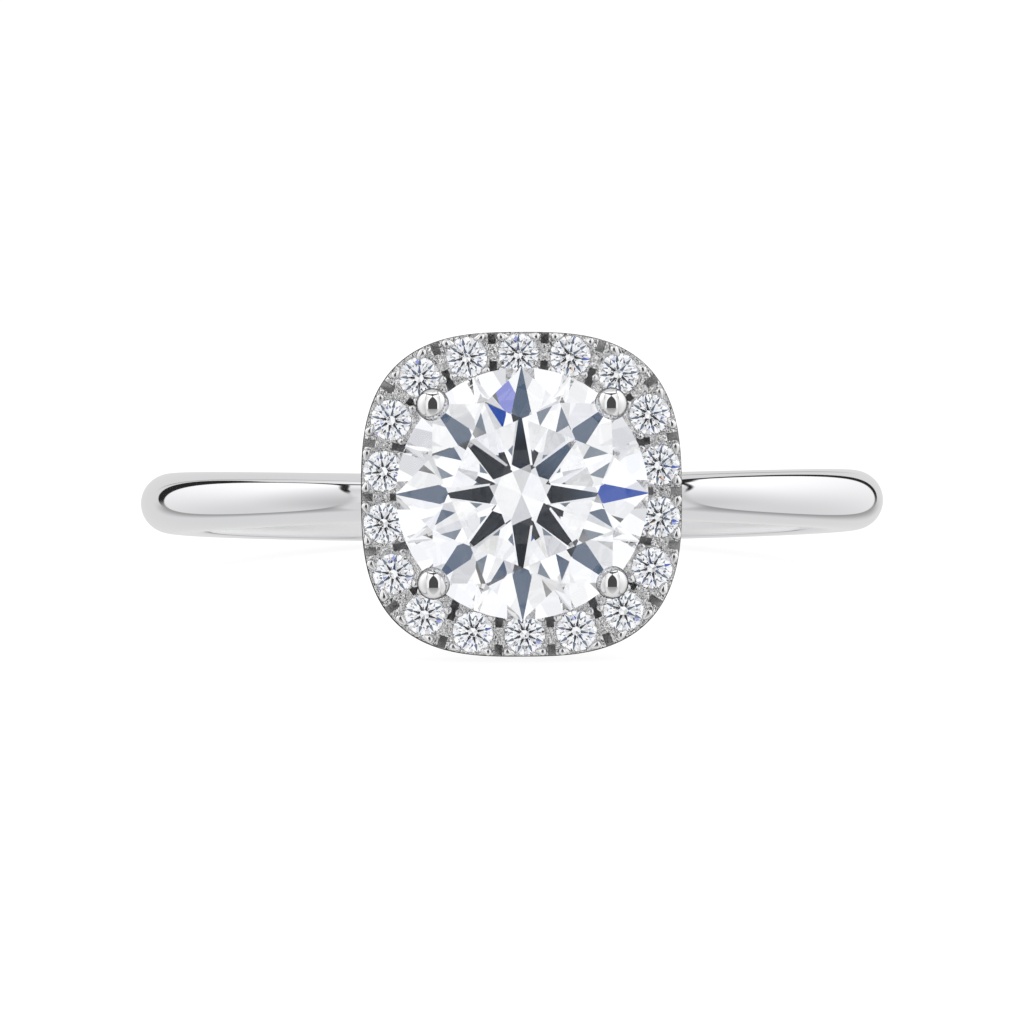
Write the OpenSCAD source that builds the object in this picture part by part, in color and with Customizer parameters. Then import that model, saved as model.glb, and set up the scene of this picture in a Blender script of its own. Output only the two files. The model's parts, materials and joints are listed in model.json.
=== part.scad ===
// Halo ring: a domed shank, a four-claw basket with a round brilliant, and a cushion halo of 18
// small brilliants. Sizes are in millimetres.
// The pieces are drawn about the centre of the finger, with x across the hand, y along the finger
// and z up the head. lay_down() then turns the ring onto its side, as it rests on a table: on the
// lower edge of the halo and on the palm side of the shank.

/* [Shank] */
// Inside diameter of the ring
finger_d = 17.3; // [14:0.1:22]
// Thickness from the finger to the crest
shank_t = 1.55; // [1.3:0.05:2.2]
// Height of the dome that rounds the outside of the section
dome_h = 0.85; // [0.4:0.05:1.1]
// Width beneath the head
shank_head_w = 1.13; // [0.9:0.01:1.6]
// Width at the sides of the finger
shank_side_w = 1.65; // [1.3:0.05:2.4]
// Width on the palm side
shank_palm_w = 1.95; // [1.5:0.05:2.6]

/* [Centre stone] */
// Diameter at the girdle
centre_d = 6.5; // [5.5:0.1:7.5]
// Room between the point of the stone and the crest of the shank
culet_room = 0.2; // [0.1:0.05:1]

/* [Cut of the stones] */
// Table across its corners, as a share of the diameter
table_share = 0.59; // [0.52:0.01:0.65]
// Slope of the bezel facets, in degrees
crown_angle = 34.5; // [30:0.5:38]
// Slope of the pavilion mains, in degrees
pavilion_angle = 40.75; // [39:0.25:43]
// Thickest part of the girdle, as a share of the diameter
girdle_share = 0.031; // [0.025:0.001:0.05]
// Reach of the star facets from the table towards the girdle, as a share
star_share = 0.5; // [0.4:0.05:0.6]
// Reach of the lower halves from the girdle towards the culet, as a share
lower_half_share = 0.77; // [0.7:0.01:0.85]

/* [Claws] */
// Diameter of the claw wire
claw_d = 0.62; // [0.5:0.01:0.7]
// Diameter of the round tip
claw_tip_d = 0.85; // [0.7:0.01:1]
// Height of the middle of the tip above the girdle
claw_tip_rise = 0.17; // [0.1:0.01:0.3]
// Gap between the metal and the centre stone
centre_gap = 0.04; // [0.03:0.01:0.08]

/* [Basket] */
// Diameter of the base collar on the shank
collar_d = 2.4; // [2:0.1:3]
// Height of the collar above the crest of the shank
collar_rise = 0.1; // [0:0.05:0.15]
// Depth of the collar below the crest
collar_root = 0.7; // [0.5:0.05:1]
// Diameter of the gallery rail's wire
rail_d = 0.6; // [0.5:0.05:0.8]

/* [Halo] */
// How far the halo shows beyond the centre stone across the hand
halo_show_x = 0.9; // [0.85:0.01:1.2]
// How far it shows along the finger
halo_show_y = 0.95; // [0.85:0.01:1.2]
// Squareness of the cushion outline, where 2 is an ellipse
halo_squareness = 2.9; // [2.3:0.1:3.6]
// Thickness of the plate
halo_t = 1; // [0.8:0.05:1.4]
// Depth of the plate's face below the girdle of the centre stone
halo_drop = 0.45; // [0.4:0.05:0.8]

/* [Halo stones] */
// Diameter of a halo stone
halo_stone_d = 1.05; // [0.8:0.01:1.3]
// Least metal between two stones along the row, for their beads and the groove
halo_stone_space = 0.25; // [0.2:0.01:0.5]
// Metal left between a stone and the outline
halo_rim = 0.05; // [0.04:0.01:0.1]
// Depth of the stone's girdle below the face of the plate
halo_sink = 0.08; // [0.05:0.01:0.12]
// Gap between a halo stone and its seat
seat_gap = 0.02; // [0.01:0.005:0.03]
// Hole drilled on through the plate below each seat
seat_hole_d = 0.5; // [0.3:0.05:0.6]

/* [Beads and grooves] */
// Diameter of a setting bead
bead_d = 0.2; // [0.16:0.01:0.22]
// Height of the middle of a bead above the face
bead_rise = 0.02; // [0:0.01:0.05]
// Width of the groove milled between two stones
groove_w = 0.14; // [0.08:0.01:0.18]
// Depth of the groove
groove_depth = 0.15; // [0.08:0.01:0.25]

/* [Hidden] */
MAINS = 8;
MAIN_STEP = 360 / MAINS;
HALF_STEP = MAIN_STEP / 2;
CLAWS = 4;
// Height of the gallery rail up the claws, as a share of the way from foot to elbow
RAIL_SHARE = 0.45;
// How late the shank swells from the head to the sides, and from the sides to the palm
HEAD_SWELL = 1.5;
PALM_SWELL = 1.3;
// Direction of the first halo stone from the middle of the halo, in degrees
FIRST_STONE = 91;
// Direction of a bead from the middle of its stone, in degrees from the run of the halo
BEAD_BEARING = 40;
BEAD_GAP = 0.005;
// Turn of each halo stone about its own axis from the one before, in degrees
STONE_TURN = 137.5;
// Steps of the drawn curves
SHANK_STEPS = 72;
DOME_STEPS = 10;
OUTLINE_STEPS = 96;
ROW_STEPS = 360;
CENTRE_GIRDLE_STEPS = 3;
HALO_GIRDLE_STEPS = 2;
// Overshoot of every cut past the metal that it opens
CUT = 1;

METAL = [0.80, 0.81, 0.83];
STONE = [0.90, 0.94, 1.00];

bore_r = finger_d / 2;
crest_r = bore_r + shank_t;
spring_r = crest_r - dome_h;

centre_r = centre_d / 2;
culet_z = crest_r + culet_room;
girdle_z = culet_z + centre_r * tan(pavilion_angle);
girdle_top_z = girdle_z + centre_d * girdle_share;
table_r = centre_r * table_share;
table_z = girdle_top_z + (centre_r - table_r) * tan(crown_angle);

halo_half_x = centre_r + halo_show_x;
halo_half_y = centre_r + halo_show_y;
face_z = girdle_z - halo_drop;
back_z = face_z - halo_t;
halo_stone_r = halo_stone_d / 2;
// Height that a seat is opened to, past its beads and short of the claw tips
seat_mouth = halo_sink + bead_rise + bead_d;
row_half_x = halo_half_x - halo_rim - halo_stone_r;
row_half_y = halo_half_y - halo_rim - halo_stone_r;
// The opening leaves a wall of two rims inside the row of stones
opening_r = row_half_x - halo_stone_r - seat_gap - 2 * halo_rim;

claw_r = claw_d / 2;
claw_top_r = centre_r;
elbow_z = girdle_z - claw_r / 2;
claw_foot_r = collar_d / 2 - claw_r - halo_rim;
claw_foot_z = crest_r - collar_root / 2;
claw_tip_z = girdle_top_z + claw_tip_rise;
rail_z = claw_foot_z + RAIL_SHARE * (elbow_z - claw_foot_z);
rail_r = claw_foot_r + RAIL_SHARE * (claw_top_r - claw_foot_r);

// The row of halo stones as [length along it, direction], once round from the first stone
row_table = [
    for (i = 0, run = 0; i <= ROW_STEPS; run = run + norm(row_point(i + 1) - row_point(i)), i = i + 1)
        [run, row_direction(i)]
];
row_length = row_table[ROW_STEPS][0];
stone_count = floor(row_length / (halo_stone_d + halo_stone_space));

// Tilt of the ring as it lies: the line that touches the palm side's dome and the back edge of
// the halo below
reach = back_z + spring_r;
palm_half = shank_palm_w / 2;
tilt_a = pow(reach, 2) - pow(dome_h, 2);
tilt_b = halo_half_y * reach;
tilt_c = pow(halo_half_y, 2) - pow(palm_half, 2);
tilt = atan((tilt_b - sqrt(pow(tilt_b, 2) - tilt_a * tilt_c)) / tilt_a);
// How far the ring reaches below, in front of and behind the finger's centre once it lies
drop_below = spring_r * sin(tilt) + norm([palm_half * cos(tilt), dome_h * sin(tilt)]);
reach_front = table_z * cos(tilt) + table_r * sin(tilt);
reach_back = spring_r * cos(tilt) + norm([dome_h * cos(tilt), palm_half * sin(tilt)]);

function row_direction(i) = FIRST_STONE + 360 * i / ROW_STEPS;
function row_point(i) = cushion(row_direction(i), row_half_x, row_half_y);

// Direction of the place that lies i stones along the row
function set_out(i) = lookup(row_length * i / stone_count, row_table);

function stone_name(i) = str("halo_stone_", i < 10 ? "0" : "", i);

// Point of a cushion outline in the direction a, and the direction that its edge faces there
function cushion(a, half_x, half_y, n = halo_squareness) =
    [cos(a), sin(a)] / pow(pow(abs(cos(a)) / half_x, n) + pow(abs(sin(a)) / half_y, n), 1 / n);
function cushion_facing(p, half_x, half_y, n = halo_squareness) =
    atan2(
        sign(p.y) * pow(abs(p.y), n - 1) / pow(half_y, n),
        sign(p.x) * pow(abs(p.x), n - 1) / pow(half_x, n)
    );

// Width of the shank at an angle from the head: it swells from the head to the sides, and on to
// the palm
function shank_w(a) =
    abs(a) < 90
        ? shank_head_w + (shank_side_w - shank_head_w) * pow(sin(abs(a)), HEAD_SWELL)
        : shank_side_w + (shank_palm_w - shank_side_w) * pow(abs(cos(a)), PALM_SWELL);

// One section of the shank as [across, radius]: straight sides, then half an ellipse
function shank_section(w) = concat(
    [[w / 2, bore_r - CUT / 2]],
    [for (i = [0 : DOME_STEPS]) let (f = 180 * i / DOME_STEPS) [w / 2 * cos(f), spring_r + dome_h * sin(f)]],
    [[-w / 2, bore_r - CUT / 2]]
);

module shank_blank() {
    sections = [for (i = [0 : SHANK_STEPS - 1]) shank_section(shank_w(360 * i / SHANK_STEPS - 180))];
    points = [
        for (i = [0 : SHANK_STEPS - 1])
            let (a = 360 * i / SHANK_STEPS - 180)
            for (p = sections[i])
                [p[1] * sin(a), p[0], p[1] * cos(a)]
    ];
    m = len(sections[0]);
    faces = [
        for (i = [0 : SHANK_STEPS - 1])
            for (j = [0 : m - 1])
                let (
                    a = i * m + j,
                    b = i * m + (j + 1) % m,
                    c = (i + 1) % SHANK_STEPS * m + (j + 1) % m,
                    d = (i + 1) % SHANK_STEPS * m + j
                )
                for (t = [[a, c, b], [a, d, c]])
                    t
    ];
    polyhedron(points, faces, convexity = 6);
}

module finger_bore() {
    rotate([90, 0, 0])
        cylinder(r = bore_r, h = 2 * (shank_palm_w + CUT), center = true, $fn = 128);
}

// A straight wire between two points of the plane y = 0
module wire(from, to, r) {
    run = to - from;
    translate([from[0], 0, from[1]])
        rotate([0, atan2(run[0], run[1]), 0])
            cylinder(r = r, h = norm(run), $fn = 48);
}

module claw() {
    elbow = [claw_top_r, elbow_z];
    wire([claw_foot_r, claw_foot_z], elbow, claw_r);
    translate([elbow[0], 0, elbow[1]])
        sphere(r = claw_r + seat_gap / 2, $fn = 48);
    wire(elbow, [claw_top_r, claw_tip_z], claw_r);
    translate([claw_top_r, 0, claw_tip_z])
        sphere(d = claw_tip_d, $fn = 64);
}

module collar() {
    translate([0, 0, crest_r - collar_root])
        cylinder(d = collar_d, h = collar_root + collar_rise, $fn = 64);
}

module gallery_rail() {
    translate([0, 0, rail_z])
        rotate_extrude($fn = 96)
            translate([rail_r, 0])
                circle(d = rail_d, $fn = 32);
}

module basket() {
    collar();
    gallery_rail();
    for (i = [0 : CLAWS - 1])
        rotate([0, 0, 360 / CLAWS * (i + 0.5)])
            claw();
}

// Places its children i stones along the row, with x along the row, y outwards and z = 0 at the
// face of the plate
module on_row(i) {
    p = cushion(set_out(i), row_half_x, row_half_y);
    translate([p.x, p.y, face_z])
        rotate([0, 0, cushion_facing(p, row_half_x, row_half_y) - 90])
            children();
}

module beads() {
    reach = halo_stone_r + bead_d / 2 + BEAD_GAP;
    for (side = [-1, 1], rim = [-1, 1])
        translate([side * reach * cos(BEAD_BEARING), rim * reach * sin(BEAD_BEARING), bead_rise])
            sphere(d = bead_d, $fn = 32);
}

module groove() {
    length = 2 * (halo_stone_d + halo_rim);
    translate([-groove_w / 2, -length / 2, -groove_depth])
        cube([groove_w, length, groove_depth + CUT]);
}

module halo_plate() {
    difference() {
        union() {
            translate([0, 0, back_z])
                linear_extrude(halo_t)
                    polygon([for (i = [0 : OUTLINE_STEPS - 1])
                        cushion(360 * i / OUTLINE_STEPS, halo_half_x, halo_half_y)]);
            for (i = [1 : stone_count])
                on_row(i)
                    beads();
        }
        translate([0, 0, back_z - CUT])
            cylinder(r = opening_r, h = halo_t + 2 * CUT, $fn = 128);
        for (i = [1 : stone_count])
            on_row(i - 0.5)
                groove();
    }
}

// The room that a stone of diameter d takes, grown by a gap and closed by cones above and below
module stone_room(d, gap) {
    r = d / 2 + gap;
    lift = gap / cos(pavilion_angle);
    rotate_extrude($fn = 96)
        polygon([
            [0, -d / 2 * tan(pavilion_angle) - lift],
            [r, gap * tan(pavilion_angle) - lift],
            [r, d * girdle_share + gap],
            [0, d * girdle_share + gap + r * tan(crown_angle)]
        ]);
}

// Seat of a halo stone: its room, open above, and a hole on through the plate
module seat() {
    translate([0, 0, -halo_sink]) {
        stone_room(halo_stone_d, seat_gap);
        cylinder(d = halo_stone_d + 2 * seat_gap, h = seat_mouth, $fn = 48);
    }
    translate([0, 0, -halo_t - CUT])
        cylinder(d = seat_hole_d, h = halo_t + CUT, $fn = 32);
}

module mounting() {
    color(METAL)
        lay_down()
            difference() {
                union() {
                    shank_blank();
                    basket();
                    halo_plate();
                }
                finger_bore();
                translate([0, 0, girdle_z])
                    stone_room(centre_d, centre_gap);
                for (i = [1 : stone_count])
                    on_row(i)
                        seat();
            }
}

// A round brilliant of diameter d: table, 8 stars, 8 bezels, 16 upper halves, a scalloped girdle
// with the given steps to a half facet, 16 lower halves and 8 mains. z = 0 is the girdle's foot.
module brilliant(d, steps) {
    r = d / 2;
    girdle = d * girdle_share;
    top_r = r * table_share;
    star_r = star_share * r + (1 - star_share) * top_r * cos(HALF_STEP);
    star_h = (r - star_r * cos(HALF_STEP)) * tan(crown_angle);
    low_r = (1 - lower_half_share) * r;
    low_h = (r - low_r * cos(HALF_STEP)) * tan(pavilion_angle);
    quarter_cos = cos(HALF_STEP / 2);
    upper_slope = star_h / ((r - star_r) * quarter_cos);
    lower_slope = low_h / ((r - low_r) * quarter_cos);
    n = 2 * MAINS * steps;
    around = [for (i = [0 : n - 1]) 360 * i / n];
    // How far the girdle's edge lies outside the chord of its half facet
    bulge = [for (i = [0 : n - 1]) r * (cos(HALF_STEP * ((i % steps) / steps - 0.5)) - quarter_cos)];
    points = concat(
        [for (k = [0 : MAINS - 1]) ring_point(top_r, k * MAIN_STEP, girdle + (r - top_r) * tan(crown_angle))],
        [for (k = [0 : MAINS - 1]) ring_point(star_r, (k + 0.5) * MAIN_STEP, girdle + star_h)],
        [for (i = [0 : n - 1]) ring_point(r, around[i], girdle - upper_slope * bulge[i])],
        [for (i = [0 : n - 1]) ring_point(r, around[i], lower_slope * bulge[i])],
        [for (k = [0 : MAINS - 1]) ring_point(low_r, (k + 0.5) * MAIN_STEP, -low_h)],
        [[0, 0, -r * tan(pavilion_angle)]]
    );
    star = MAINS;
    upper = 2 * MAINS;
    lower = upper + n;
    low = lower + n;
    culet = low + MAINS;
    faces = concat(
        [[for (k = [MAINS - 1 : -1 : 0]) k]],
        [for (k = [0 : MAINS - 1]) [(k + 1) % MAINS, star + k, k]],
        [for (k = [0 : MAINS - 1]) [star + k, upper + 2 * steps * k, star + (k + MAINS - 1) % MAINS, k]],
        [for (h = [0 : 2 * MAINS - 1])
            concat([star + floor(h / 2)], [for (i = [steps : -1 : 0]) upper + (h * steps + i) % n])],
        [for (i = [0 : n - 1]) [upper + i, upper + (i + 1) % n, lower + (i + 1) % n, lower + i]],
        [for (h = [0 : 2 * MAINS - 1])
            concat([low + floor(h / 2)], [for (i = [0 : steps]) lower + (h * steps + i) % n])],
        [for (k = [0 : MAINS - 1])
            [culet, low + (k + MAINS - 1) % MAINS, lower + 2 * steps * k, low + k]]
    );
    polyhedron(points, faces, convexity = 2);
}

function ring_point(r, a, z) = [r * cos(a), r * sin(a), z];

module centre_stone() {
    color(STONE)
        lay_down()
            translate([0, 0, girdle_z])
                brilliant(centre_d, CENTRE_GIRDLE_STEPS);
}

module halo_stone(i) {
    color(STONE)
        lay_down()
            on_row(i)
                translate([0, 0, -halo_sink])
                    rotate([0, 0, STONE_TURN * i])
                        brilliant(halo_stone_d, HALO_GIRDLE_STEPS);
}

// Lays the ring on the plane z = 0, with the head towards -y and the middle of its box over the
// origin
module lay_down() {
    translate([0, (reach_front - reach_back) / 2, drop_below])
        rotate([90 - tilt, 0, 0])
            children();
}

mounting();
centre_stone();
for (i = [1 : stone_count]) halo_stone(i);
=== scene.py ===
"""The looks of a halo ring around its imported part: shank, claw basket, cushion halo and brilliants.

Every mesh is made in the ring's own axes, in millimetres, with x across the hand, y along the finger
and z up the head, about the centre of the finger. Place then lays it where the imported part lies.
"""

import ast
import json
import logging
import math
import random
import textwrap
from dataclasses import dataclass, field
from enum import Enum
from typing import Callable

import bmesh
import bpy
from bpy.types import Material, Mesh, Node, NodeSocket, NodeTree, Object
from mathutils import Matrix, Vector


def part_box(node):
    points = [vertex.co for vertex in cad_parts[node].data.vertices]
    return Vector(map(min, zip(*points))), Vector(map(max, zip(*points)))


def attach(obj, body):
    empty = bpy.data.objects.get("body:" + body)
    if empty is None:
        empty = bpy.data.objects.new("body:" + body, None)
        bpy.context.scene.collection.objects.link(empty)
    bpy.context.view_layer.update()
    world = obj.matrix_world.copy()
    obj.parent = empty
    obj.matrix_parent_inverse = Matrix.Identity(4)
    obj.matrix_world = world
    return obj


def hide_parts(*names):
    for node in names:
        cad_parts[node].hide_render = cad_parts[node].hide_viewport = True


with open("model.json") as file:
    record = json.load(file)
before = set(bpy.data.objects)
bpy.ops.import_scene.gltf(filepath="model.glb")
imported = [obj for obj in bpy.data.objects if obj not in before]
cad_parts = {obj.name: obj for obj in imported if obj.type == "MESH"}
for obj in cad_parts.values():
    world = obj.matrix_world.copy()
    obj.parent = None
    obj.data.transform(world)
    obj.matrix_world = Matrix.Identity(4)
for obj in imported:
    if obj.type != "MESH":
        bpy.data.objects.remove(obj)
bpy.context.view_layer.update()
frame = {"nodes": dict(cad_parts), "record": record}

Feed = float | tuple[float, ...] | Node | NodeSocket | bpy.types.ID | list
Inputs = dict[int | str, Feed] | None
Profile = list[tuple[float, float]]
Way = tuple[float, float, float]

LOG = logging.getLogger("halo_ring")
TURN = 2 * math.pi
MM = 0.001
SEED = 7
WHITE = (1.0, 1.0, 1.0, 1.0)
# How far a cutter reaches past the metal that it opens, in millimetres
OVERCUT = 1.0
# Corners closer than this become one, in millimetres
WELD = 0.0005

# What a Math node calls each sign and function of a formula
SUMS = {ast.Add: "ADD", ast.Sub: "SUBTRACT", ast.Mult: "MULTIPLY", ast.Div: "DIVIDE", ast.Pow: "POWER",
        ast.Lt: "LESS_THAN", ast.Gt: "GREATER_THAN", "sin": "SINE", "cos": "COSINE", "asin": "ARCSINE",
        "acos": "ARCCOSINE", "atan2": "ARCTAN2", "deg": "DEGREES", "rad": "RADIANS", "abs": "ABSOLUTE",
        "sign": "SIGN", "mod": "MODULO", "min": "MINIMUM", "max": "MAXIMUM", "sqrt": "SQRT"}


class Slot(Enum):
    """The record's material slots."""

    WHITE_GOLD = "white_gold"
    BRILLIANT = "brilliant"


def linear(colour: str) -> tuple[float, ...]:
    """Turns an sRGB hex colour into linear values.

    Args:
        colour: The colour, such as "#dfe0e2".
    Returns:
        Linear red, green, blue and an alpha of 1.
    """
    shares = [int(colour[i:i + 2], 16) / 255 for i in (1, 3, 5)]
    lit = [c / 12.92 if c <= 0.04045 else ((c + 0.055) / 1.055) ** 2.4 for c in shares]
    return (*lit, 1.0)


def add_node(tree: NodeTree, kind: str, inputs: Inputs = None, **settings: object) -> Node:
    """Adds a node to a tree, with its settings and what feeds it.

    Args:
        tree: The tree that takes the node.
        kind: Blender's name for the type of node.
        inputs: What feeds each input, by its number or name: a value, a socket, a node, which stands
            for its first output, or a list of these for an input that takes several.
        settings: The node's own properties.
    Returns:
        The node.
    """
    node = tree.nodes.new(kind)
    for name, value in settings.items():
        setattr(node, name, value)
    for key, value in (inputs or {}).items():
        for feed in value if isinstance(value, list) else [value]:
            feed = feed.outputs[0] if isinstance(feed, Node) else feed
            if isinstance(feed, NodeSocket):
                tree.links.new(feed, node.inputs[key])
            else:
                node.inputs[key].default_value = feed
    return node


class Web:
    """A tree of nodes, and what the names in its formulas stand for."""

    def __init__(self, tree: NodeTree) -> None:
        """Takes the tree."""
        self.tree = tree
        self.names: dict[str, Feed] = {"TURN": TURN}

    def node(self, kind: str, inputs: Inputs = None, **settings: object) -> Node:
        """Adds a node to the tree, as add_node does."""
        return add_node(self.tree, kind, inputs, **settings)

    def numbers(self, text: str, **names: Feed) -> dict[str, Feed]:
        """Writes formulas into the tree as nodes.

        Args:
            text: Lines of plain arithmetic, such as "half = wide / 2". A line may use the names above
                it, (x, y, z) is a vector, and rise(x, a, b) goes smoothly from 0 at a to 1 at b.
            names: What names stand for in these lines, beside the tree's own names.
        Returns:
            What every name stands for, with the last line as "result".
        """
        names = {**self.names, **names}

        def grow(part: ast.AST) -> Feed:
            """Adds the nodes of one part of a formula."""
            if isinstance(part, ast.Constant):
                return float(part.value)
            if isinstance(part, ast.Name):
                return names[part.id]
            if isinstance(part, ast.Tuple):
                kind, parts = "vector", part.elts
            elif isinstance(part, ast.Call):
                kind, parts = part.func.id, part.args
            elif isinstance(part, ast.Compare):
                kind, parts = type(part.ops[0]), [part.left, part.comparators[0]]
            elif isinstance(part, ast.UnaryOp):
                kind, parts = ast.Mult, [ast.Constant(-1), part.operand]
            else:
                kind, parts = type(part.op), [part.left, part.right]
            feeds = dict(enumerate(grow(p) for p in parts))
            if kind == "vector":
                return self.node("ShaderNodeCombineXYZ", feeds).outputs[0]
            if kind == "rise":
                return self.node("ShaderNodeMapRange", feeds, interpolation_type="SMOOTHSTEP").outputs[0]
            return self.node("ShaderNodeMath", feeds, operation=SUMS[kind]).outputs[0]

        for line in ast.parse(textwrap.dedent(text)).body:
            names["result"] = grow(line.value)
            if isinstance(line, ast.Assign):
                names[line.targets[0].id] = names["result"]
        return names

    def number(self, text: str, **names: Feed) -> NodeSocket:
        """Writes formulas as numbers() does, and gives the last line's result."""
        return self.numbers(text, **names)["result"]

    def blend(self, share: Feed, low: Feed, high: Feed) -> NodeSocket:
        """Mixes two colours, which are inputs 6 and 7 of the node, as its names fit several inputs."""
        return self.node("ShaderNodeMix", {0: share, 6: low, 7: high}, data_type="RGBA").outputs[2]


def shown(name: str, data: bpy.types.ID) -> Object:
    """Puts data into the scene as an object.

    Args:
        name: The object's name.
        data: Its mesh, lamp or camera.
    Returns:
        The object.
    """
    thing = bpy.data.objects.new(name, data)
    bpy.context.scene.collection.objects.link(thing)
    return thing


def applied(body: Object, *helpers: Object) -> Mesh:
    """Applies an object's modifiers and clears it away.

    Args:
        body: The object.
        helpers: Objects that its modifiers use, which go too.
    Returns:
        What the modifiers made, as a plain mesh.
    """
    evaluated = body.evaluated_get(bpy.context.evaluated_depsgraph_get())
    mesh = bpy.data.meshes.new_from_object(evaluated)
    for thing in (body, *helpers):
        bpy.data.objects.remove(thing)
    return mesh


def principled(name: str, values: dict[str, Feed]) -> Material:
    """Makes a material.

    Args:
        name: The material's name.
        values: What is set on the shader's own sockets, by their names.
    Returns:
        The material.
    """
    material = bpy.data.materials.new(name)
    material.use_nodes = True
    for key, value in values.items():
        material.node_tree.nodes["Principled BSDF"].inputs[key].default_value = value
    return material


class Growth(Web):
    """A Geometry Nodes tree that grows one plain mesh.

    Its formulas know its sizes, and a point's number i and place x, y, z.
    """

    def __init__(self, name: str, **sizes: float) -> None:
        """Starts the tree.

        Args:
            name: The tree's name.
            sizes: The tree's named inputs.
        """
        super().__init__(bpy.data.node_groups.new(name, "GeometryNodeTree"))
        face = self.tree.interface
        face.new_socket("start", in_out="INPUT", socket_type="NodeSocketGeometry")
        face.new_socket("grown", in_out="OUTPUT", socket_type="NodeSocketGeometry")
        self.values: dict[str, float] = {}
        for label, value in sizes.items():
            socket = face.new_socket(label, in_out="INPUT", socket_type="NodeSocketFloat")
            self.values[socket.identifier] = float(value)
        inlet = self.node("NodeGroupInput")
        self.start = inlet.outputs["start"]
        spot = self.node("ShaderNodeSeparateXYZ", {0: self.node("GeometryNodeInputPosition")})
        self.names.update(zip("xyz", spot.outputs), i=self.node("GeometryNodeInputIndex"))
        self.names.update({label: inlet.outputs[label] for label in sizes})

    def about_z(self, text: str, **names: Feed) -> Node:
        """Makes a turn about z, in radians that a formula gives."""
        return self.node("FunctionNodeEulerToRotation", {0: self.number(f"(0, 0, {text})", **names)})

    def kept(self, shape: Feed, domain: str, **values: Feed) -> Feed:
        """Stores values on a geometry, so that a formula for a later step reads them by their names.

        Args:
            shape: The geometry.
            domain: What carries the values, such as "POINT".
            values: The values by their names.
        Returns:
            The geometry with the values.
        """
        for name, value in values.items():
            shape = self.node("GeometryNodeStoreNamedAttribute", {0: shape, 2: name, 3: value}, domain=domain)
            self.names[name] = self.node("GeometryNodeInputNamedAttribute", {0: name})
        return shape

    def mesh(self, shape: Feed, finishes: list[tuple[Material, Feed]], start: Mesh | None = None) -> Mesh:
        """Ends the tree and grows its mesh.

        Args:
            shape: The node or socket that carries the geometry.
            finishes: Each material with the field that selects its faces.
            start: The mesh that the tree starts from, if it needs one.
        Returns:
            The grown mesh, with no modifier left.
        """
        dressed = self.node("GeometryNodeRealizeInstances", {0: shape})
        for material, selection in finishes:
            dressed = self.node("GeometryNodeSetMaterial", {0: dressed, 1: selection, 2: material})
        self.node("NodeGroupOutput", {0: dressed})
        carrier = shown("carrier", start or bpy.data.meshes.new("empty"))
        modifier = carrier.modifiers.new("growth", "NODES")
        modifier.node_group = self.tree
        for identifier, value in self.values.items():
            modifier[identifier] = value
        return applied(carrier)


def meshed(form: bmesh.types.BMesh, mesh: Mesh) -> Mesh:
    """Ends a closed form, with its faces turned outwards.

    Args:
        form: The form, which is freed.
        mesh: The mesh that takes it.
    Returns:
        The mesh.
    """
    bmesh.ops.recalc_face_normals(form, faces=form.faces)
    form.to_mesh(mesh)
    form.free()
    return mesh


def skin(form: bmesh.types.BMesh, low: list[bmesh.types.BMVert], high: list[bmesh.types.BMVert],
         slot: int = 0) -> None:
    """Joins two rings of corners with a band of faces. A ring of one corner is a point.

    Args:
        form: The form that takes the faces.
        low: The first ring.
        high: The second ring.
        slot: The place of the faces' material in the mesh's list.
    """
    for i in range(max(len(low), len(high))):
        corners = [low[i % len(low)], low[(i + 1) % len(low)],
                   high[(i + 1) % len(high)], high[i % len(high)]]
        form.faces.new(list(dict.fromkeys(corners))).material_index = slot


def lathe(profile: Profile, steps: int) -> Mesh:
    """Turns a profile round the z axis into a closed mesh.

    Args:
        profile: Points as (radius, height) from one end of the axis to the other.
        steps: Steps round the axis.
    Returns:
        The turned mesh.
    """
    form = bmesh.new()
    rings = []
    for radius, height in profile:
        ways = [TURN * i / steps for i in range(steps if radius else 1)]
        rings.append([form.verts.new((radius * math.cos(a), radius * math.sin(a), height)) for a in ways])
    for low, high in zip(rings, rings[1:]):
        skin(form, low, high)
    return meshed(form, bpy.data.meshes.new("turned"))


def cut(mesh: Mesh, cutters: list[Mesh]) -> Mesh:
    """Cuts meshes out of a mesh, one after another.

    Args:
        mesh: The mesh to cut.
        cutters: What is cut away, each with its material on the faces that it leaves.
    Returns:
        The mesh that is left.
    """
    body = shown("body", mesh)
    tools = [shown("cutter", cutter) for cutter in cutters]
    for tool in tools:
        modifier = body.modifiers.new("cut", "BOOLEAN")
        modifier.operation = "DIFFERENCE"
        modifier.solver = "EXACT"
        modifier.use_self = True
        modifier.material_mode = "TRANSFER"
        modifier.object = tool
    return applied(body, *tools)


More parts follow.
